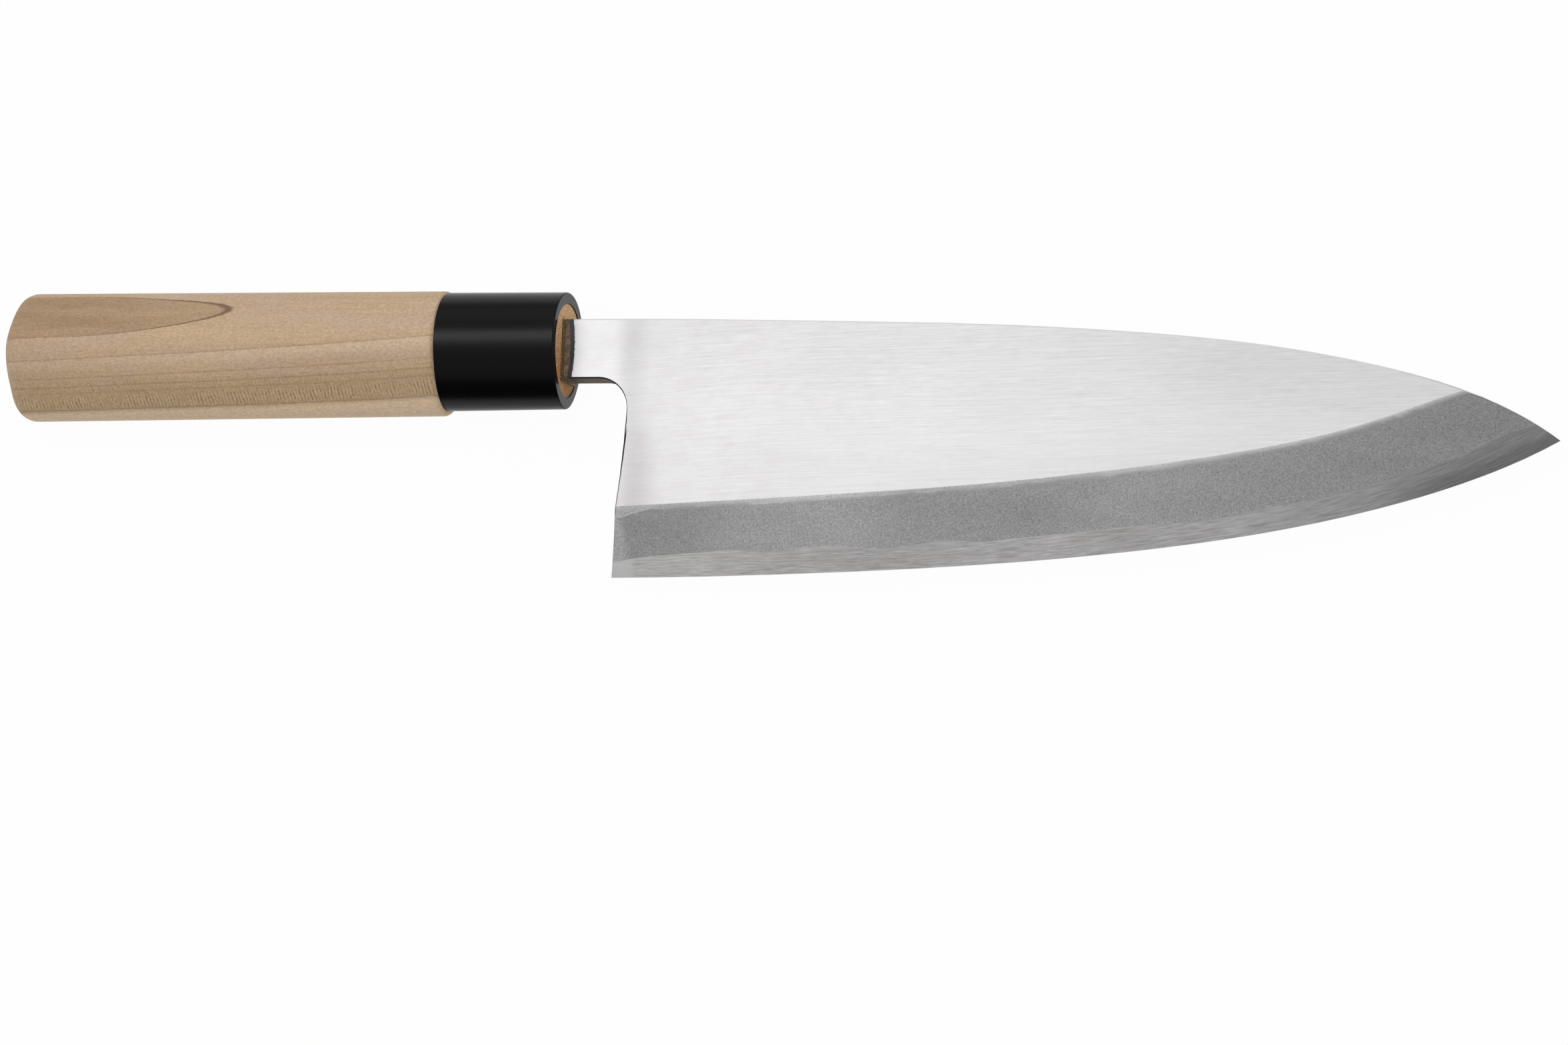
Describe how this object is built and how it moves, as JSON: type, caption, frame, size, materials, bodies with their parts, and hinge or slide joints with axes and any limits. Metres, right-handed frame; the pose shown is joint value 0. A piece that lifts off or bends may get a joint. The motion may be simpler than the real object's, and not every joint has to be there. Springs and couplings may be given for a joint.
{
  "type": "deba knife",
  "caption": "Heavy single-bevel kitchen knife with a laminated blade and hollow back, its tang bedded in a soft D-section wooden handle with a black ferrule.",
  "frame": {"origin": "under the middle of the whole knife, at the height of the lowest point of its handle", "axes": "+X along the handle to the blade's tip, +Y from the cutting edge to the spine, +Z out of the front face, so that the knife lies on its back face"},
  "size_m": [0.3556, 0.0652, 0.0253],
  "materials": {
    "soft_iron": "fine lengthwise brushing on the flat, matt blasted grey on the bevel, dark scale at the tang",
    "hard_steel": "ground and finely honed",
    "pale_wood": "bare, sanded smooth",
    "black_plastic": "satin",
    "resin": "cured amber resin"
  },
  "bodies": {
    "root": {"blade_iron": "soft_iron", "edge_steel": "hard_steel", "tang_bedding": "resin", "handle_wood": "pale_wood", "ferrule_glue": "resin", "ferrule": "black_plastic"}
  },
  "joints": []
}
